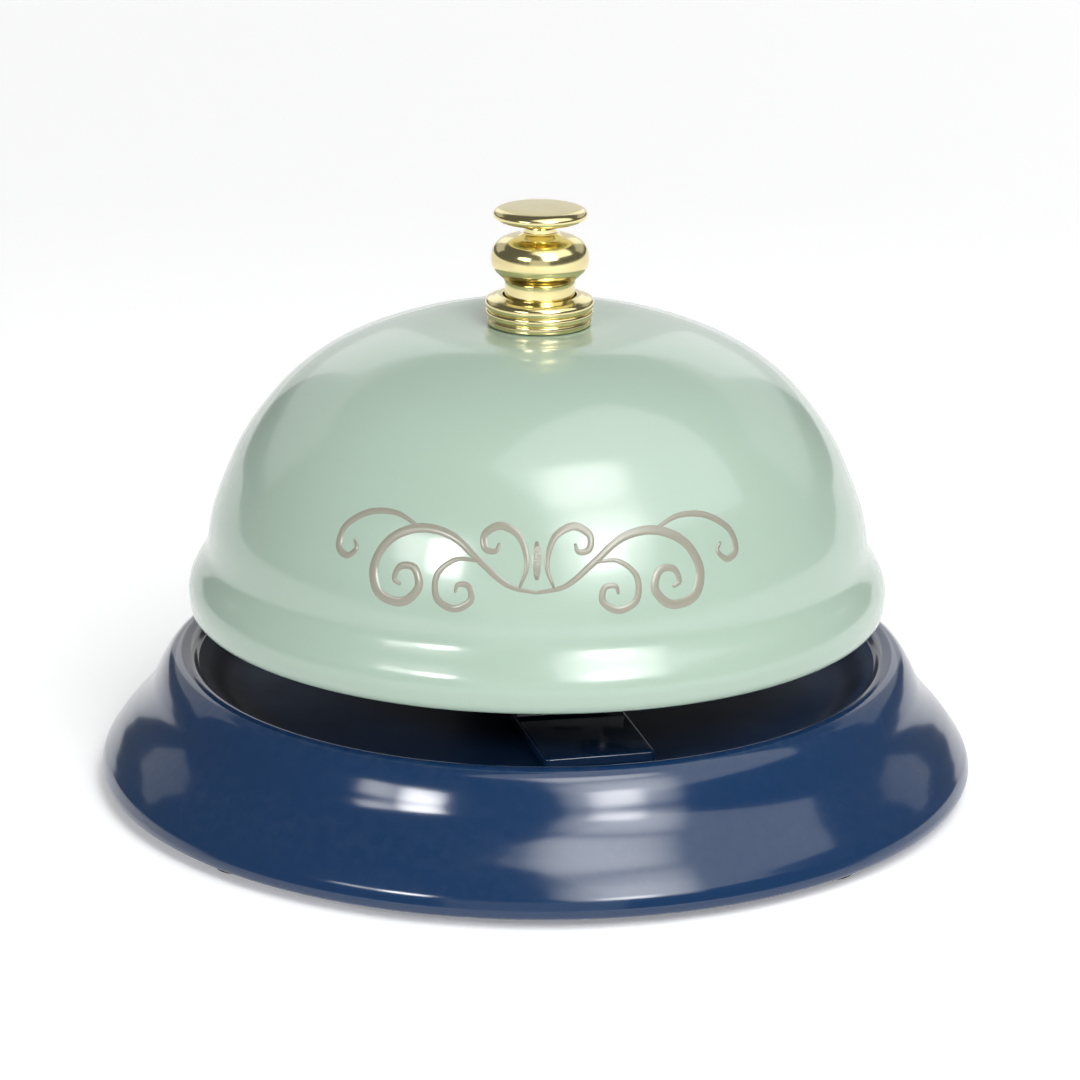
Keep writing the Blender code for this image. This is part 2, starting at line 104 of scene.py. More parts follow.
class ServiceBellShape(bpy.types.PropertyGroup):
    sheet: bpy.props.FloatProperty(
        name="Bell sheet", description="Thickness of the bell's steel",
        default=0.9 * MM, min=0.4 * MM, max=2 * MM, unit="LENGTH")
    pan_sheet: bpy.props.FloatProperty(
        name="Pan sheet", description="Thickness of the base pan's steel",
        default=0.8 * MM, min=0.4 * MM, max=2 * MM, unit="LENGTH")
    collar_gap: bpy.props.FloatProperty(
        name="Collar gap", description="Gap left between the collar and the bell",
        default=0.08 * MM, min=0.0, max=0.3 * MM, unit="LENGTH")


class ServiceBellFinish(bpy.types.PropertyGroup):
    mint: bpy.props.FloatVectorProperty(
        name="Bell enamel", description="Colour of the bell's enamel",
        subtype="COLOR", size=3, default=(0.405, 0.528, 0.436), min=0.0, max=1.0)
    navy: bpy.props.FloatVectorProperty(
        name="Pan enamel", description="Colour of the base pan's enamel",
        subtype="COLOR", size=3, default=(0.0075, 0.033, 0.097), min=0.0, max=1.0)
    brass: bpy.props.FloatVectorProperty(
        name="Brass", description="Colour of the knob and the collar",
        subtype="COLOR", size=3, default=(0.82, 0.722, 0.375), min=0.0, max=1.0)
    plate: bpy.props.FloatVectorProperty(
        name="Zinc plate", description="Colour of the plated works",
        subtype="COLOR", size=3, default=(0.60, 0.61, 0.62), min=0.0, max=1.0)
    steel: bpy.props.FloatVectorProperty(
        name="Bright steel", description="Colour of the turned steel",
        subtype="COLOR", size=3, default=(0.52, 0.52, 0.53), min=0.0, max=1.0)
    ornament: bpy.props.FloatVectorProperty(
        name="Ornament", description="Colour of the printed scroll on the bell",
        subtype="COLOR", size=3, default=(0.30, 0.295, 0.235), min=0.0, max=1.0)


# ---------------------------------------------------------------- materials

class Sheet:
    """A material's node tree with short ways to add and join nodes."""

    def __init__(self, tree):
        self.tree = tree
        self.count = 0

    def node(self, kind, **settings):
        made = self.tree.nodes.new(kind)
        made.location = (-900 + 190 * (self.count % 6), 300 - 220 * (self.count // 6))
        self.count += 1
        for name, value in settings.items():
            setattr(made, name, value)
        return made

    def join(self, out, into):
        self.tree.links.new(out, into)

    def feed(self, socket, value):
        if isinstance(value, bpy.types.NodeSocket):
            self.join(value, socket)
        elif value is not None:
            socket.default_value = value

    def math(self, operation, first, second=None, third=None, clamp=False):
        made = self.node("ShaderNodeMath", operation=operation, use_clamp=clamp)
        for socket, value in zip(made.inputs, (first, second, third)):
            self.feed(socket, value)
        return made.outputs[0]

    def mix(self, factor, first, second):
        made = self.node("ShaderNodeMix", data_type="RGBA")
        self.feed(made.inputs[0], factor)
        for socket, colour in zip(made.inputs[6:8], (first, second)):
            self.feed(socket, colour if isinstance(colour, bpy.types.NodeSocket) else (*colour, 1))
        return made.outputs[2]

    def spread(self, value, low_in, high_in, low_out=0.0, high_out=1.0):
        made = self.node("ShaderNodeMapRange", clamp=True)
        for socket, number in zip(made.inputs, (value, low_in, high_in, low_out, high_out)):
            self.feed(socket, number)
        return made.outputs[0]

    def group(self, tree, **values):
        made = self.node("ShaderNodeGroup", node_tree=tree)
        for name, value in values.items():
            self.feed(made.inputs[name.replace("_", " ")], value)
        return made


def new_group(name, inputs, outputs):
    """Empty shader node group with float inputs (name, default) and float outputs."""
    tree = bpy.data.node_groups.new(name, "ShaderNodeTree")
    for label, default in inputs:
        socket = tree.interface.new_socket(label, in_out="INPUT", socket_type="NodeSocketFloat")
        socket.default_value = default
    for label in outputs:
        tree.interface.new_socket(label, in_out="OUTPUT", socket_type="NodeSocketFloat")
    sheet = Sheet(tree)
    return sheet, sheet.node("NodeGroupInput"), sheet.node("NodeGroupOutput")


def enamel_skin():
    """Sprayed and baked enamel: slow orange peel and faint mottling."""
    sheet, given, out = new_group(
        "Enamel Skin", (("Peel Scale", 420.0),), ("Height", "Mottle"))
    place = sheet.node("ShaderNodeTexCoord").outputs["Object"]
    peel = sheet.node("ShaderNodeTexNoise")
    sheet.join(place, peel.inputs["Vector"])
    sheet.join(given.outputs["Peel Scale"], peel.inputs["Scale"])
    peel.inputs["Detail"].default_value = 1.5
    mottle = sheet.node("ShaderNodeTexNoise")
    sheet.join(place, mottle.inputs["Vector"])
    mottle.inputs["Scale"].default_value = 45.0
    mottle.inputs["Detail"].default_value = 2.0
    sheet.join(peel.outputs["Fac"], out.inputs["Height"])
    sheet.join(mottle.outputs["Fac"], out.inputs["Mottle"])
    return sheet.tree


def edge_rub():
    """Mask of enamel rubbed thin in a band of height, broken up by noise."""
    sheet, given, out = new_group(
        "Edge Rub", (("Height", 0.0), ("Band", 0.0005), ("Breakup", 900.0)), ("Mask",))
    place = sheet.node("ShaderNodeTexCoord").outputs["Object"]
    split = sheet.node("ShaderNodeSeparateXYZ")
    sheet.join(place, split.inputs[0])
    above = sheet.math("SUBTRACT", split.outputs[2], given.outputs["Height"])
    away = sheet.math("DIVIDE", sheet.math("ABSOLUTE", above), given.outputs["Band"])
    near = sheet.math("SUBTRACT", 1.0, away, clamp=True)
    grain = sheet.node("ShaderNodeTexNoise")
    sheet.join(place, grain.inputs["Vector"])
    sheet.join(given.outputs["Breakup"], grain.inputs["Scale"])
    grain.inputs["Detail"].default_value = 4.0
    broken = sheet.spread(grain.outputs["Fac"], 0.48, 0.66)
    sheet.join(sheet.math("MULTIPLY", near, broken), out.inputs["Mask"])
    return sheet.tree


def settled_dust():
    """Mask of fine, uneven dust on the faces that look up."""
    sheet, given, out = new_group("Settled Dust", (("Amount", 0.2), ("Scale", 900.0)), ("Mask",))
    normal = sheet.node("ShaderNodeNewGeometry").outputs["Normal"]
    split = sheet.node("ShaderNodeSeparateXYZ")
    sheet.join(normal, split.inputs[0])
    grain = sheet.node("ShaderNodeTexNoise")
    sheet.join(sheet.node("ShaderNodeTexCoord").outputs["Object"], grain.inputs["Vector"])
    sheet.join(given.outputs["Scale"], grain.inputs["Scale"])
    grain.inputs["Detail"].default_value = 6.0
    up = sheet.spread(split.outputs[2], 0.25, 0.95)
    fine = sheet.spread(grain.outputs["Fac"], 0.42, 0.74)
    mask = sheet.math("MULTIPLY", sheet.math("MULTIPLY", up, fine), given.outputs["Amount"])
    sheet.join(mask, out.inputs["Mask"])
    return sheet.tree


def lathe_lines():
    """Fine rings that a turning tool and a polishing mop leave, and soft hazing between them."""
    sheet, given, out = new_group(
        "Lathe Lines", (("Pitch", 9000.0), ("Wander", 0.0002)), ("Height", "Haze"))
    place = sheet.node("ShaderNodeTexCoord").outputs["Object"]
    split = sheet.node("ShaderNodeSeparateXYZ")
    sheet.join(place, split.inputs[0])
    squares = [sheet.math("POWER", split.outputs[k], 2.0) for k in range(2)]
    radius = sheet.math("SQRT", sheet.math("ADD", *squares))
    along = sheet.math("ADD", radius, split.outputs[2])
    noise = sheet.node("ShaderNodeTexNoise")
    sheet.join(place, noise.inputs["Vector"])
    noise.inputs["Scale"].default_value = 350.0
    noise.inputs["Detail"].default_value = 4.0
    shifted = sheet.math("MULTIPLY_ADD", noise.outputs["Fac"], given.outputs["Wander"], along)
    rings = sheet.math("SINE", sheet.math("MULTIPLY", shifted, given.outputs["Pitch"]))
    haze = sheet.spread(noise.outputs["Fac"], 0.35, 0.75)
    sheet.join(rings, out.inputs["Height"])
    sheet.join(haze, out.inputs["Haze"])
    return sheet.tree


def mill_grain():
    """Grain and faint scratches of rolled and plated steel."""
    sheet, given, out = new_group("Mill Grain", (("Scale", 600.0),), ("Height", "Shade"))
    place = sheet.node("ShaderNodeTexCoord").outputs["Object"]
    stretch = sheet.node("ShaderNodeMapping")
    sheet.join(place, stretch.inputs["Vector"])
    stretch.inputs["Scale"].default_value = (1.0, 7.0, 3.0)
    fine = sheet.node("ShaderNodeTexNoise")
    sheet.join(stretch.outputs[0], fine.inputs["Vector"])
    sheet.join(given.outputs["Scale"], fine.inputs["Scale"])
    fine.inputs["Detail"].default_value = 5.0
    broad = sheet.node("ShaderNodeTexNoise")
    sheet.join(place, broad.inputs["Vector"])
    broad.inputs["Scale"].default_value = 130.0
    broad.inputs["Detail"].default_value = 3.0
    sheet.join(fine.outputs["Fac"], out.inputs["Height"])
    sheet.join(sheet.spread(broad.outputs["Fac"], 0.32, 0.70), out.inputs["Shade"])
    return sheet.tree


GROUPS = {}                       # node groups by the name of their maker
MATERIALS = {}                    # materials by finish, filled by the Finishes operator


def shared(maker):
    """The node group a maker builds, built once."""
    if maker.__name__ not in GROUPS:
        GROUPS[maker.__name__] = maker()
    return GROUPS[maker.__name__]


def new_material(name):
    material = bpy.data.materials.new(name)
    material.use_nodes = True
    sheet = Sheet(material.node_tree)
    return material, sheet, material.node_tree.nodes["Principled BSDF"]


def add_bump(sheet, shader, height, strength, distance):
    bump = sheet.node("ShaderNodeBump")
    bump.inputs["Strength"].default_value = strength
    bump.inputs["Distance"].default_value = distance
    sheet.join(height, bump.inputs["Height"])
    sheet.join(bump.outputs[0], shader.inputs["Normal"])


def shade(colour, factor):
    return tuple(min(1.0, c * factor) for c in colour)


def enamel(name, colour, rub_heights, gloss, coat, dust):
    """Baked enamel over steel, rubbed a little in bands at the given heights."""
    material, sheet, shader = new_material(name)
    skin = sheet.group(shared(enamel_skin))
    body = sheet.mix(skin.outputs["Mottle"], shade(colour, 0.97), shade(colour, 1.03))
    rub = None
    for height, band in rub_heights:
        mask = sheet.group(shared(edge_rub), Height=height, Band=band).outputs["Mask"]
        rub = mask if rub is None else sheet.math("MAXIMUM", rub, mask)
    light = tuple(c + (1 - c) * 0.35 for c in colour)
    if rub is not None:
        body = sheet.mix(sheet.math("MULTIPLY", rub, 0.55), body, light)
    rough = sheet.spread(skin.outputs["Mottle"], 0.2, 0.8, gloss * 0.9, gloss * 1.15)
    if dust:
        powder = sheet.group(shared(settled_dust), Amount=dust).outputs["Mask"]
        body = sheet.mix(powder, body, (0.62, 0.60, 0.56))
        rough = sheet.math("MULTIPLY_ADD", powder, 0.5, rough)
    sheet.join(body, shader.inputs["Base Color"])
    sheet.join(rough, shader.inputs["Roughness"])
    shader.inputs["Coat Weight"].default_value = coat
    shader.inputs["Coat Roughness"].default_value = 0.05
    add_bump(sheet, shader, skin.outputs["Height"], 0.10, 0.02 * MM)
    return material


def polished_brass(name, colour):
    """Lacquered brass, turned and mopped, with a warm cast in the hollows of its haze."""
    material, sheet, shader = new_material(name)
    lines = sheet.group(shared(lathe_lines))
    warm = (colour[0] * 0.96, colour[1] * 0.92, colour[2] * 0.78)
    body = sheet.mix(sheet.math("MULTIPLY", lines.outputs["Haze"], 0.45), colour, warm)
    sheet.join(body, shader.inputs["Base Color"])
    shader.inputs["Metallic"].default_value = 1.0
    rough = sheet.spread(lines.outputs["Haze"], 0.0, 1.0, 0.13, 0.21)
    sheet.join(rough, shader.inputs["Roughness"])
    shader.inputs["Coat Weight"].default_value = 0.25
    shader.inputs["Coat Roughness"].default_value = 0.04
    add_bump(sheet, shader, lines.outputs["Height"], 0.10, 0.004 * MM)
    return material


def plated_steel(name, colour, roughness, scale):
    material, sheet, shader = new_material(name)
    grain = sheet.group(shared(mill_grain), Scale=scale)
    dull = (colour[0] * 0.80, colour[1] * 0.82, colour[2] * 0.80)
    sheet.join(sheet.mix(grain.outputs["Shade"], dull, colour), shader.inputs["Base Color"])
    shader.inputs["Metallic"].default_value = 1.0
    rough = sheet.spread(grain.outputs["Shade"], 0.0, 1.0, roughness * 1.25, roughness * 0.85)
    sheet.join(rough, shader.inputs["Roughness"])
    add_bump(sheet, shader, grain.outputs["Height"], 0.18, 0.03 * MM)
    return material


def soft_stock(name, colour, roughness, scale, depth, shine=0.5):
    """Rubber or pressed fibre: mottled, matt and slightly pitted."""
    material, sheet, shader = new_material(name)
    grain = sheet.group(shared(mill_grain), Scale=scale)
    pale = tuple(c * 1.45 + 0.002 for c in colour)
    shader.inputs["Specular IOR Level"].default_value = shine
    sheet.join(sheet.mix(grain.outputs["Shade"], colour, pale), shader.inputs["Base Color"])
    rough = sheet.spread(grain.outputs["Shade"], 0.0, 1.0, roughness, roughness * 0.88)
    sheet.join(rough, shader.inputs["Roughness"])
    add_bump(sheet, shader, grain.outputs["Height"], 0.35, depth)
    return material


def printed_ink(name, colour):
    material, sheet, shader = new_material(name)
    skin = sheet.group(shared(enamel_skin))
    body = sheet.mix(skin.outputs["Mottle"], shade(colour, 0.92), shade(colour, 1.10))
    rough = sheet.spread(skin.outputs["Mottle"], 0.2, 0.8, 0.30, 0.38)
    sheet.join(body, shader.inputs["Base Color"])
    sheet.join(rough, shader.inputs["Roughness"])
    shader.inputs["Coat Weight"].default_value = 0.5
    shader.inputs["Coat Roughness"].default_value = 0.06
    return material


# ---------------------------------------------------------------- modelling

def fair(points, steps=6, corners=()):
    """Smooth (r, z) outline through the points, kept sharp at the listed corners."""
    flow = [Vector(p) for p in points]
    out = []
    for k in range(len(flow) - 1):
        here, there = flow[k], flow[k + 1]
        before = here if k == 0 or k in corners else flow[k - 1]
        after = there if k + 2 == len(flow) or k + 1 in corners else flow[k + 2]
        leave = (there - before) / 2 if before is not here else there - here
        reach = (after - here) / 2 if after is not there else there - here
        span = (there - here).length
        for tangent in (leave, reach):
            if tangent.length > 0:
                tangent *= min(1.0, 1.15 * span / tangent.length)
        for s in range(steps):
            t = s / steps
            h1 = 2 * t ** 3 - 3 * t ** 2 + 1
            h2 = t ** 3 - 2 * t ** 2 + t
            h3 = -2 * t ** 3 + 3 * t ** 2
            h4 = t ** 3 - t ** 2
            out.append(h1 * here + h2 * leave + h3 * there + h4 * reach)
    return out + [flow[-1]]


def inner_side(outline, sheet):
    """The outline moved to its right-hand side by the sheet's thickness, in reverse order."""
    moved = []
    for k, point in enumerate(outline):
        ahead = outline[min(k + 1, len(outline) - 1)] - outline[max(k - 1, 0)]
        normal = Vector((ahead.y, -ahead.x)).normalized()
        spot = point + normal * sheet
        moved.append(Vector((max(spot.x, 0.0), spot.y)))
    return moved[::-1]


def spin_round(bm, steps):
    """Spin the outline edges a full turn about Z and close the seam and the poles."""
    bmesh.ops.spin(bm, geom=bm.verts[:] + bm.edges[:], cent=(0, 0, 0), axis=(0, 0, 1),
                   dvec=(0, 0, 0), angle=2 * math.pi, steps=steps, use_merge=True,
                   use_duplicate=False)
    bmesh.ops.remove_doubles(bm, verts=bm.verts, dist=0.000001)
    bmesh.ops.recalc_face_normals(bm, faces=bm.faces)


def finish_piece(name, bm, material, slot, body, nodes, sharp=40.0):
    """Turn the bmesh into a shaded object that rides on its body and stands for its nodes."""
    mesh = bpy.data.meshes.new(name)
    bm.to_mesh(mesh)
    bm.free()
    mesh.materials.append(MATERIALS[material])
    mesh.shade_smooth()
    mesh.set_sharp_from_angle(angle=math.radians(sharp))
    piece = bpy.data.objects.new(name, mesh)
    bpy.context.scene.collection.objects.link(piece)
    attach(piece, body)
    if nodes:
        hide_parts(*nodes)
    return piece


def under_bell(middle, normal):
    """True on the inner wall of the bell, whose faces look back at the axis."""
    return normal.dot((middle.x, middle.y, 0.4 * middle.z)) < 0


def within_dish(middle, normal):
    """True inside the pan's rolled rim, where the dish takes a darker, duller navy as painted shade
    under the bell.
    """
    rim = PAN_RADIUS - RIM_WIDTH - 0.05 * MM
    return middle.xy.length < rim and middle.z > PAN_EDGE_Z + 7.0 * MM


def turn_piece(name, outline, steps, closed=False, centre=None, inside=None, hidden_side=None,
               **rest):
    """Turn an (r, z) outline about the upright line through centre, or about Z."""
    bm = bmesh.new()
    points = [bm.verts.new((max(r, 0.0), 0.0, z)) for r, z in outline]
    for first, second in zip(points, points[1:]):
        bm.edges.new((first, second))
    if closed:
        bm.edges.new((points[-1], points[0]))
    spin_round(bm, steps)
    if centre:
        bmesh.ops.translate(bm, verts=bm.verts, vec=centre)
    if inside:
        for face in bm.faces:
            middle = face.calc_center_median()
            if hidden_side(middle, face.normal):
                face.material_index = 1
    piece = finish_piece(name, bm, **rest)
    if inside:
        piece.data.materials.append(MATERIALS[inside])
    return piece


BELL_SIDE = (                     # share of the radius, share of the height, from the lip upwards
    (1.000, 0.030), (1.002, 0.070), (0.996, 0.105), (0.982, 0.140), (0.965, 0.175),
    (0.952, 0.208), (0.9460, 0.240), (0.9400, 0.290), (0.930, 0.345), (0.911, 0.412),
    (0.887, 0.484), (0.860, 0.556), (0.824, 0.628), (0.780, 0.700), (0.725, 0.775),
    (0.655, 0.845), (0.580, 0.900), (0.485, 0.950), (0.390, 0.985), (0.300, 1.003),
    (0.215, 1.003), (0.160, 1.000))


def bell_top_z():
    return COLLAR_Z - GAP


def bell_outside():
    """Outer outline of the bell from the seat hole down to just above the lip."""
    height = bell_top_z() - BELL_LIP_Z
    side = [(BELL_RADIUS * r, BELL_LIP_Z + height * z) for r, z in BELL_SIDE]
    side.append((BELL_HOLE, bell_top_z()))
    return fair(side[::-1], 6)


def bell_radius_at(z):
    """Outer radius of the bell at a height."""
    side = bell_outside()
    for upper, lower in zip(side, side[1:]):
        if lower.y <= z <= upper.y and upper.y > lower.y:
            share = (z - lower.y) / (upper.y - lower.y)
            return lower.x + (upper.x - lower.x) * share
    return BELL_RADIUS


class SERVICEBELL_OT_materials(bpy.types.Operator):
    """Mix the enamel, brass, plated steel, rubber and fibre"""
    bl_idname = "servicebell.materials"
    bl_label = "Finishes"

    def execute(self, context):
        look = context.scene.service_bell_finish
        MATERIALS.update({
            "mint": enamel("mint_enamel", tuple(look.mint), ((BELL_LIP_Z, 0.22 * MM),),
                           gloss=0.225, coat=0.60, dust=0.0),
            "navy": enamel("navy_enamel", tuple(look.navy), ((PAN_EDGE_Z + 0.1 * MM, 0.3 * MM),),
                           gloss=0.13, coat=0.25, dust=0.02),
            # The dish inside the rim: the pan's navy darkened and dulled as painted shade under the
            # bell.
            "dish_shade_navy": soft_stock("dish_shade_navy", shade(tuple(look.navy), 0.80), 0.42, 260.0,
                                    0.01 * MM, shine=0.06),
            "brass": polished_brass("polished_brass", tuple(look.brass)),
            "plate": plated_steel("zinc_plate", tuple(look.plate), 0.36, 500.0),
            "steel": plated_steel("bright_steel", tuple(look.steel), 0.21, 900.0),
            "rubber": soft_stock("foot_rubber", (0.012, 0.012, 0.013), 0.78, 700.0, 0.04 * MM),
            "fibre": soft_stock("washer_fibre", (0.20, 0.075, 0.035), 0.75, 900.0, 0.04 * MM),
            "primer": soft_stock("dark_primer", (0.010, 0.014, 0.020), 0.55, 300.0, 0.02 * MM),
            "ink": printed_ink("scroll_ink", tuple(look.ornament)),
        })
        return {"FINISHED"}


class SERVICEBELL_OT_pan(bpy.types.Operator):
    """Spin the base pan: turned-in edge, skirt, slope, rolled rim and dish"""
    bl_idname = "servicebell.pan"
    bl_label = "Base pan"

    def execute(self, context):
        sheet = context.scene.service_bell_shape.pan_sheet
        crest = PAN_CREST_Z - PAN_EDGE_Z
        slope = ((1.0, 0.925), (0.93, 0.98), (0.82, 1.0), (0.72, 0.965), (0.64, 0.885),
                 (0.57, 0.78), (0.505, 0.67), (0.42, 0.565), (0.31, 0.46), (0.20, 0.36),
                 (0.11, 0.265), (0.060, 0.205), (0.030, 0.165), (0.010, 0.12))
        floor = crest - DISH_DEPTH
        fall = PAN_RADIUS - RIM_WIDTH - DISH_FLAT
        dish = [(0.0, floor), (DISH_FLAT * 0.45, floor), (DISH_FLAT * 0.9, floor),
                (DISH_FLAT, floor + 0.05 * MM), (DISH_FLAT + fall * 0.35, floor + 0.62 * MM),
                (DISH_FLAT + fall * 0.75, crest - 1.64 * MM)]
        side = [(PAN_RADIUS - RIM_WIDTH * a, crest * b) for a, b in slope]
        skirt = [(PAN_RADIUS, 0.9 * MM), (PAN_RADIUS - 0.2 * MM, 0.3 * MM),
                 (PAN_RADIUS - 0.9 * MM, 0.0), (PAN_RADIUS - 1.8 * MM, 0.0),
                 (PAN_RADIUS - 5.8 * MM, 0.0)]
        outside = fair([(r, PAN_EDGE_Z + z) for r, z in dish + side + skirt], 5)
        # The dish faces take the darker navy, which is painted shade under the bell.
        turn_piece("pan_shell", outside + inner_side(outside, sheet), AROUND,
                   inside="dish_shade_navy", hidden_side=within_dish, material="navy",
                   slot="navy_paint", body="base", nodes=("base_shell",))
        return {"FINISHED"}


class SERVICEBELL_OT_bell(bpy.types.Operator):
    """Spin the bell with its flared lip and flat seat"""
    bl_idname = "servicebell.bell"
    bl_label = "Bell"

    def execute(self, context):
        sheet = context.scene.service_bell_shape.sheet
        outside = bell_outside()
        lip = ((0.10, 0.22), (0.30, 0.03), (0.50, 0.0), (0.72, 0.06), (0.86, 0.28))
        round_lip = [Vector((BELL_RADIUS - r * MM, BELL_LIP_Z + z * MM)) for r, z in lip]
        outline = outside + round_lip + inner_side(outside, sheet)
        turn_piece("bell_shell", outline, AROUND, closed=True, inside="primer",
                   hidden_side=under_bell, material="mint", slot="mint_paint", body="base",
                   nodes=("bell_dome",))
        return {"FINISHED"}


SCROLL_MIDDLE = 0.47              # share of the bell's height at the middle of the scroll
SCROLL_STROKES = (                # across and up from the middle in mm, then the widest half-width
    (((0.0, -2.3), (2.6, -1.7), (5.2, 0.2), (8.0, 2.1), (11.2, 2.5), (14.0, 1.3), (15.2, -1.1),
      (14.3, -3.4), (12.0, -3.9), (10.6, -2.5), (11.2, -0.9), (12.6, -0.9), (13.0, -2.0),
      (12.3, -2.4)), 0.46),
    (((5.2, 0.2), (7.4, 0.2), (9.0, -1.2), (8.8, -3.2), (7.2, -4.0), (5.8, -3.2), (6.0, -2.0),
      (7.0, -1.9), (7.2, -2.6)), 0.34),
    (((1.5, -1.9), (0.9, 0.1), (1.6, 2.3), (3.4, 3.2), (4.9, 2.5), (4.8, 1.3), (3.8, 1.1),
      (3.5, 1.8)), 0.36),
    (((11.2, 2.5), (14.0, 3.4), (17.0, 3.1), (19.2, 1.6), (19.4, -0.2), (18.2, -0.8),
      (17.4, 0.0), (17.9, 0.7)), 0.34),
    (((0.0, -1.2), (0.0, 0.4), (0.0, 2.0)), 0.42),
)


def on_bell(across, up, proud):
    """Point on the bell's outside, given along the surface from the middle of the scroll."""
    middle = BELL_LIP_Z + (bell_top_z() - BELL_LIP_Z) * SCROLL_MIDDLE
    z = middle + up
    lean = (bell_radius_at(z - 0.5 * MM) - bell_radius_at(z + 0.5 * MM)) / MM
    out = Vector((1.0, lean)).normalized() * proud
    radius = bell_radius_at(z) + out.x
    turn = across / bell_radius_at(middle)
    return Vector((radius * math.sin(turn), -radius * math.cos(turn), z + out.y))


def scroll_section(here, heading, half):
    """Four corners of a stroke: two sunk edges, a crown and a sunk keel."""
    side = Vector((-heading.y, heading.x)).normalized() * half
    left, right = here + side, here - side
    return (on_bell(left.x, left.y, -0.01 * MM), on_bell(here.x, here.y, 0.13 * MM),
            on_bell(right.x, right.y, -0.01 * MM), on_bell(here.x, here.y, -0.06 * MM))


def sweep_stroke(bm, points, widest):
    """Sweep a swelling stroke along the bell by extruding its section point by point."""
    line = fair([(u * MM, v * MM) for u, v in points], 6)
    ring = []
    for k, here in enumerate(line):
        heading = line[min(k + 1, len(line) - 1)] - line[max(k - 1, 0)]
        swell = 0.30 + 0.70 * math.sin(math.pi * (k + 0.5) / len(line)) ** 0.8
        corners = scroll_section(here, heading, widest * MM * swell)
        if not ring:
            ring = [bm.verts.new(c) for c in corners]
            edges = [bm.edges.new((ring[n], ring[(n + 1) % 4])) for n in range(4)]
            ends = list(edges)
            continue
        grown = bmesh.ops.extrude_edge_only(bm, edges=edges)["geom"]
        fresh = [v for v in grown if isinstance(v, bmesh.types.BMVert)]
        follow = {old: new for old in ring for new in fresh if (old.co - new.co).length < 1e-9}
        ring = [follow[old] for old in ring]
        edges = [e for e in grown if isinstance(e, bmesh.types.BMEdge)
                 and e.verts[0] in ring and e.verts[1] in ring]
        for vert, corner in zip(ring, corners):
            vert.co = corner
    bmesh.ops.holes_fill(bm, edges=ends + edges, sides=4)


class SERVICEBELL_OT_scroll(bpy.types.Operator):
    """Lay the raised scroll ornament on the front of the bell"""
    bl_idname = "servicebell.scroll"
    bl_label = "Scroll ornament"

    def execute(self, context):
        bm = bmesh.new()
        for points, widest in SCROLL_STROKES:
            sweep_stroke(bm, points, widest)
        bmesh.ops.mirror(bm, geom=bm.verts[:] + bm.edges[:] + bm.faces[:], axis="X",
                         merge_dist=0.0)
        bmesh.ops.recalc_face_normals(bm, faces=bm.faces)
        finish_piece("scroll_ornament", bm, "ink", "mint_paint", "base", (), sharp=80.0)
        return {"FINISHED"}


class SERVICEBELL_OT_collar(bpy.types.Operator):
    """Spin the ringed brass collar that clamps the bell"""
    bl_idname = "servicebell.collar"
    bl_label = "Collar"

    def execute(self, context):
        top, bottom = COLLAR_TOP_Z, bell_top_z() + context.scene.service_bell_shape.collar_gap
        crown = ((0.0, 0.10), (0.04, -0.10), (0.16, -0.17), (0.40, -0.16))
        rings = ((1.00, -0.06), (0.55, 0.08), (0.20, 0.24), (0.04, 0.46), (0.0, 0.70), (0.03, 0.92),
                 (0.13, 1.07), (0.27, 1.15), (0.14, 1.24), (0.06, 1.40), (0.05, 1.62),
                 (0.12, 1.84), (0.26, 1.96), (0.32, 2.02), (0.25, 2.10), (0.20, 2.26))
        outline = fair([(COLLAR_BORE + r * MM, top - z * MM) for r, z in crown]
                       + [(COLLAR_RADIUS - r * MM, top - z * MM) for r, z in rings], 4)
        outline += fair([(COLLAR_RADIUS - 0.22 * MM, bottom + 0.12 * MM),
                         (COLLAR_RADIUS - 0.34 * MM, bottom), (BELL_HOLE, bottom),
                         (BELL_HOLE, top - 0.6 * MM), (COLLAR_BORE, top - 0.6 * MM)], 1)
        turn_piece("collar", outline, AROUND_SMALL, closed=True, material="brass",
                   slot="polished_brass", body="base", nodes=("collar_nut",))
        return {"FINISHED"}


class SERVICEBELL_OT_knob(bpy.types.Operator):
    """Spin the push knob: crowned disc, waist, bulb and sliding neck"""
    bl_idname = "servicebell.knob"
    bl_label = "Push knob"

    def execute(self, context):
        disc, bulb, neck = 4.5, 4.7, NECK_RADIUS / MM
        drops = ((0.0, 0.0), (0.35 * disc, 0.01), (0.62 * disc, 0.04), (0.80 * disc, 0.10),
                 (0.92 * disc, 0.24), (0.98 * disc, 0.46), (disc, 0.72), (0.98 * disc, 0.98),
                 (0.92 * disc, 1.20), (0.79 * disc, 1.38), (0.58 * disc, 1.50), (0.42 * disc, 1.64),
                 (0.345 * disc, 1.90), (0.335 * disc, 2.25), (0.35 * disc, 2.50), (2.05, 2.70),
                 (2.75, 2.84), (3.40, 3.03), (3.95, 3.32), (4.36, 3.74), (4.60, 4.25),
                 (bulb, 4.85), (4.69, 5.30), (4.60, 5.72), (4.36, 6.12), (3.98, 6.50),
                 (3.62, 6.83), (neck + 0.07, 7.14), (neck, 7.60), (neck, 8.4))
        outline = fair([(r * MM, KNOB_TOP_Z - drop * MM) for r, drop in drops], 5)
        rod_bore = (high("plunger_rod").x - low("plunger_rod").x) / 2 + GAP
        rod_top = high("plunger_rod").z + GAP
        outline += fair([(NECK_RADIUS, KNOB_END_Z + 0.2 * MM), (NECK_RADIUS - 0.2 * MM, KNOB_END_Z),
                         (rod_bore, KNOB_END_Z), (rod_bore, rod_top), (0.0, rod_top)], 1)
        turn_piece("push_knob", outline, AROUND_SMALL, material="brass",
                   slot="polished_brass", body="plunger", nodes=("plunger_knob",))
        return {"FINISHED"}


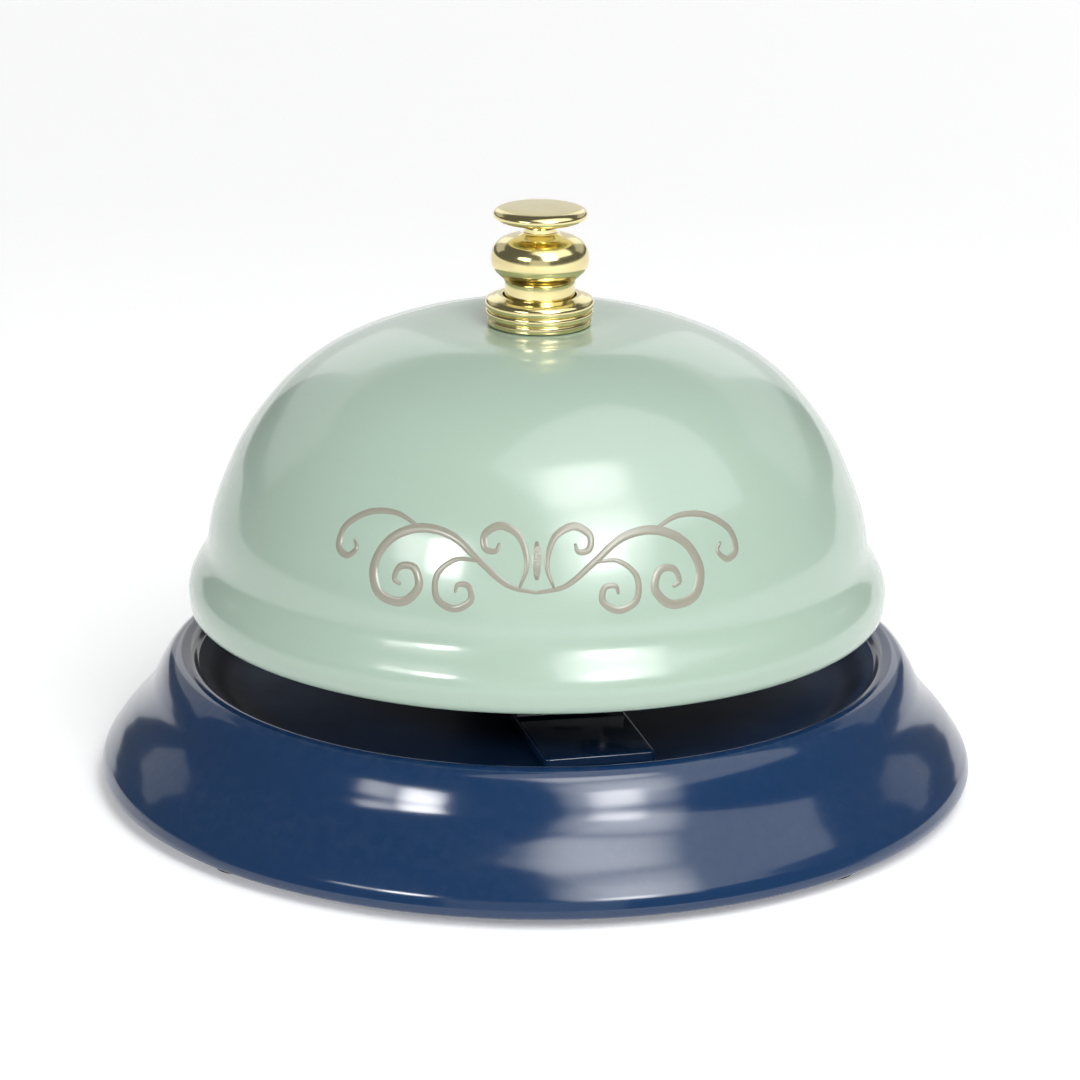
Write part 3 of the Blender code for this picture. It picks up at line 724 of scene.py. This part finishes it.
class SERVICEBELL_OT_feet(bpy.types.Operator):
    """Spin the four moulded rubber feet"""
    bl_idname = "servicebell.feet"
    bl_label = "Feet"

    def execute(self, context):
        r = FOOT_RADIUS / MM
        pad = PAN_EDGE_Z / MM - 0.08
        for number in range(1, 5):
            node = f"foot_{number}"
            bottom, top = low(node), high(node)
            tall = (top.z - bottom.z) / MM
            outline = fair([(0.0, tall), (1.1, tall - 0.06), (1.6, tall - 0.62),
                            (1.62, tall - 0.70), (1.12, tall - 0.74), (1.1, pad),
                            (r - 0.12, pad), (r, pad - 0.12), (r - 0.12, 0.18),
                            (r - 0.38, 0.0), (0.0, 0.0)], 3, corners=(4, 5, 9))
            turn_piece(f"rubber_foot_{number}", [point * MM for point in outline], AROUND_FOOT,
                       centre=((bottom.x + top.x) / 2, (bottom.y + top.y) / 2, bottom.z),
                       material="rubber", slot="rubber", body="base", nodes=(node,))
        return {"FINISHED"}


class SERVICEBELL_OT_strap(bpy.types.Operator):
    """Cut the enamelled strap that lies across the dish"""
    bl_idname = "servicebell.strap"
    bl_label = "Strap"

    def execute(self, context):
        bm = bmesh.new()
        bmesh.ops.create_cube(bm, size=1.0, matrix=Matrix.Diagonal((*STRAP_SIZE, 1.0)))
        upright = [e for e in bm.edges
                   if abs(e.verts[0].co.z - e.verts[1].co.z) > STRAP_SIZE[2] / 2]
        bmesh.ops.bevel(bm, geom=upright, offset=0.5 * MM, segments=5, profile=0.5,
                        affect="EDGES", material=-1)
        rims = [e for e in bm.edges if abs(e.verts[0].co.z - e.verts[1].co.z) < 0.00001
                and len(e.link_faces) == 2 and e.calc_face_angle(0.0) > 1.0]
        bmesh.ops.bevel(bm, geom=rims, offset=0.28 * MM, segments=4, profile=0.5,
                        affect="EDGES", material=-1)
        lift = (low("bracket_strap").z + high("bracket_strap").z) / 2
        place = Matrix.Translation((0, 0, lift)) @ Matrix.Rotation(STRAP_TURN, 4, "Z")
        bmesh.ops.transform(bm, matrix=place, verts=bm.verts)
        finish_piece("dish_strap", bm, "navy", "navy_paint", "base", ("bracket_strap",), sharp=50.0)
        return {"FINISHED"}


SPRING_TURNS = 5.5
SPRING_STEPS = 176
SPRING_WIRE = 0.45 * MM           # diameter


class SERVICEBELL_OT_spring(bpy.types.Operator):
    """Coil the return spring under the knob at its rest length; the coil here does not shorten as
    the knob goes down
    """
    bl_idname = "servicebell.spring"
    bl_label = "Return spring"

    def execute(self, context):
        bottom, top = low("return_spring"), high("return_spring")
        rise = top.z - bottom.z - SPRING_WIRE
        bm = bmesh.new()
        start = (Matrix.Translation((top.x - SPRING_WIRE / 2, 0, bottom.z + SPRING_WIRE / 2))
                 @ Matrix.Rotation(math.pi / 2, 4, "X"))
        bmesh.ops.create_circle(bm, cap_ends=False, radius=SPRING_WIRE / 2, segments=10,
                                matrix=start)
        bmesh.ops.spin(bm, geom=bm.verts[:] + bm.edges[:], cent=(0, 0, 0), axis=(0, 0, 1),
                       dvec=(0, 0, rise / SPRING_STEPS), angle=2 * math.pi * SPRING_TURNS,
                       steps=SPRING_STEPS, use_merge=False, use_duplicate=False)
        bmesh.ops.holes_fill(bm, edges=[e for e in bm.edges if e.is_boundary], sides=10)
        bmesh.ops.recalc_face_normals(bm, faces=bm.faces)
        coil = finish_piece("knob_spring", bm, "steel", "bright_steel", "base", ("return_spring",))
        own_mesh(coil)
        return {"FINISHED"}


WORKS = {
    "plate": ("post_yoke", "yoke_rivet_front", "yoke_rivet_back", "post_barrel", "post_nut",
              "seat_nut", "hammer_arm", "hammer_rivet"),
    "steel": ("hammer_pin", "plunger_rod", "rod_clip", "hammer_head"),
    "fibre": ("seat_washer",),
}


class SERVICEBELL_OT_works(bpy.types.Operator):
    """Give the plated works under the bell their finishes"""
    bl_idname = "servicebell.works"
    bl_label = "Works"

    def execute(self, context):
        for finish, nodes in WORKS.items():
            for node in nodes:
                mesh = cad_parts[node].data
                mesh.materials.clear()
                mesh.materials.append(MATERIALS[finish])
        return {"FINISHED"}


LAMP_AIM = Vector((0.0, 0.0, 0.03))
LAMPS = (                         # azimuth, elevation, distance, width, height, watts, diffuse
    ("key_right", 27.0, 36.0, 0.95, 0.60, 0.50, 3.2, True),
    ("key_upper", 27.0, 59.0, 0.95, 0.55, 0.34, 1.9, True),
    ("glint_right", 25.0, 30.0, 0.90, 0.26, 0.20, 1.0, False),
    ("pane_left", -34.0, 26.0, 0.95, 0.24, 0.16, 1.7, True),
    ("pane_far_left", -48.0, 26.0, 0.95, 0.22, 0.16, 0.45, True),
    ("front_card", 0.0, 12.0, 1.6, 1.3, 0.7, 1.5, False),
    ("rear_left", 215.0, 24.0, 1.6, 1.5, 0.7, 1.5, False),
    ("rear_right", 145.0, 24.0, 1.6, 1.5, 0.7, 1.5, False),
    ("overhead", 60.0, 62.0, 1.3, 1.5, 1.5, 9.4, True),
    ("backdrop", 180.0, 17.0, 1.6, 1.4, 0.98, 2.8, True),
)
CAMERA_PLACE = (0.00025, -0.41132, 0.15157 + PAN_EDGE_Z)
CAMERA_PITCH = -0.3038            # down from level, radians
CAMERA_ROLL = 0.009256
CAMERA_LENS = 148.19              # millimetres on a 36 mm sensor


def soften(lamp):
    """Fade a lamp's face towards its edges, as the cloth of a soft box does."""
    lamp.use_nodes = True
    cloth = Sheet(lamp.node_tree)
    face = cloth.node("ShaderNodeNewGeometry").outputs["Parametric"]
    split = cloth.node("ShaderNodeSeparateXYZ")
    cloth.join(face, split.inputs[0])
    fades = []
    for k in range(2):
        off = cloth.math("MULTIPLY_ADD", split.outputs[k], 2.0, -1.0)
        edge = cloth.math("POWER", cloth.math("ABSOLUTE", off), 3.0)
        fades.append(cloth.math("SUBTRACT", 1.0, edge))
    glow = cloth.math("MULTIPLY", cloth.math("MULTIPLY", *fades), 1.7)
    cloth.join(glow, lamp.node_tree.nodes["Emission"].inputs["Strength"])


class SERVICEBELL_OT_stage(bpy.types.Operator):
    """Set out the pale table, the soft lights and the camera"""
    bl_idname = "servicebell.stage"
    bl_label = "Stage"

    def execute(self, context):
        scene = context.scene
        bm = bmesh.new()
        bmesh.ops.create_grid(bm, x_segments=2, y_segments=2, size=6.0)
        mesh = bpy.data.meshes.new("table")
        bm.to_mesh(mesh)
        bm.free()
        table = bpy.data.objects.new("table", mesh)
        scene.collection.objects.link(table)
        cloth, sheet, shader = new_material("table_white")
        grain = sheet.group(shared(mill_grain), Scale=40.0)
        sheet.join(sheet.mix(grain.outputs["Shade"], (0.95, 0.95, 0.95), (0.96, 0.96, 0.96)),
                   shader.inputs["Base Color"])
        distance = sheet.node("ShaderNodeVectorMath", operation="LENGTH")
        sheet.join(sheet.node("ShaderNodeTexCoord").outputs["Object"], distance.inputs[0])
        far = sheet.spread(distance.outputs["Value"], 0.25, 1.6)
        sheet.join(sheet.mix(far, (0.25, 0.25, 0.25), (0.90, 0.90, 0.90)),
                   shader.inputs["Emission Color"])
        shader.inputs["Emission Strength"].default_value = 1.0
        shader.inputs["Roughness"].default_value = 0.6
        shader.inputs["Specular IOR Level"].default_value = 0.2
        mesh.materials.append(cloth)

        world = bpy.data.worlds.new("studio")
        scene.world = world
        world.use_nodes = True
        sky = world.node_tree.nodes["Background"]
        sky.inputs["Color"].default_value = (0.98, 0.99, 1.0, 1.0)
        room = Sheet(world.node_tree)
        seen = room.node("ShaderNodeLightPath").outputs["Is Camera Ray"]
        room.join(room.spread(seen, 0.0, 1.0, 0.13, 1.0), sky.inputs["Strength"])

        for name, azimuth, elevation, distance, width, height, power, lights_up in LAMPS:
            lamp = bpy.data.lights.new(name, "AREA")
            lamp.shape = "RECTANGLE"
            lamp.size, lamp.size_y = width, height
            lamp.energy = power
            if name.startswith(("key", "glint", "pane")):
                soften(lamp)
            turn, rise = math.radians(azimuth), math.radians(elevation)
            way = Vector((math.sin(turn) * math.cos(rise), -math.cos(turn) * math.cos(rise),
                          math.sin(rise)))
            holder = bpy.data.objects.new(name, lamp)
            holder.location = LAMP_AIM + way * distance
            holder.rotation_euler = way.to_track_quat("Z", "Y").to_euler()
            holder.visible_diffuse = lights_up
            holder.visible_camera = False
            scene.collection.objects.link(holder)

        camera = bpy.data.cameras.new("camera")
        camera.sensor_width = 36.0
        camera.lens = CAMERA_LENS
        camera.clip_start = 0.01
        holder = bpy.data.objects.new("camera", camera)
        view = (Matrix.Rotation(math.pi / 2 + CAMERA_PITCH, 4, "X")
                @ Matrix.Rotation(CAMERA_ROLL, 4, "Z"))
        holder.matrix_world = Matrix.Translation(CAMERA_PLACE) @ view
        scene.collection.objects.link(holder)
        scene.camera = holder
        scene.view_settings.view_transform = "Standard"
        return {"FINISHED"}


class SERVICEBELL_PT_panel(bpy.types.Panel):
    bl_idname = "SERVICEBELL_PT_panel"
    bl_label = "Service Bell"
    bl_space_type = "VIEW_3D"
    bl_region_type = "UI"
    bl_category = "Service Bell"

    def draw(self, context):
        layout = self.layout
        for settings in (context.scene.service_bell_shape, context.scene.service_bell_finish):
            box = layout.box()
            for name in settings.bl_rna.properties.keys():
                if name not in ("rna_type", "name"):
                    box.prop(settings, name)
        for step in STEPS:
            layout.operator(step.bl_idname)


STEPS = (SERVICEBELL_OT_materials, SERVICEBELL_OT_pan, SERVICEBELL_OT_strap, SERVICEBELL_OT_feet,
         SERVICEBELL_OT_bell, SERVICEBELL_OT_scroll, SERVICEBELL_OT_collar, SERVICEBELL_OT_knob,
         SERVICEBELL_OT_spring, SERVICEBELL_OT_works, SERVICEBELL_OT_stage)
CLASSES = (ServiceBellShape, ServiceBellFinish, *STEPS, SERVICEBELL_PT_panel)


def register():
    for made in CLASSES:
        bpy.utils.register_class(made)
    bpy.types.Scene.service_bell_shape = bpy.props.PointerProperty(type=ServiceBellShape)
    bpy.types.Scene.service_bell_finish = bpy.props.PointerProperty(type=ServiceBellFinish)


def unregister():
    del bpy.types.Scene.service_bell_finish
    del bpy.types.Scene.service_bell_shape
    for made in reversed(CLASSES):
        bpy.utils.unregister_class(made)


def main():
    register()
    for step in STEPS:
        group, name = step.bl_idname.split(".")
        getattr(getattr(bpy.ops, group), name)()


if __name__ == "__main__":
    main()
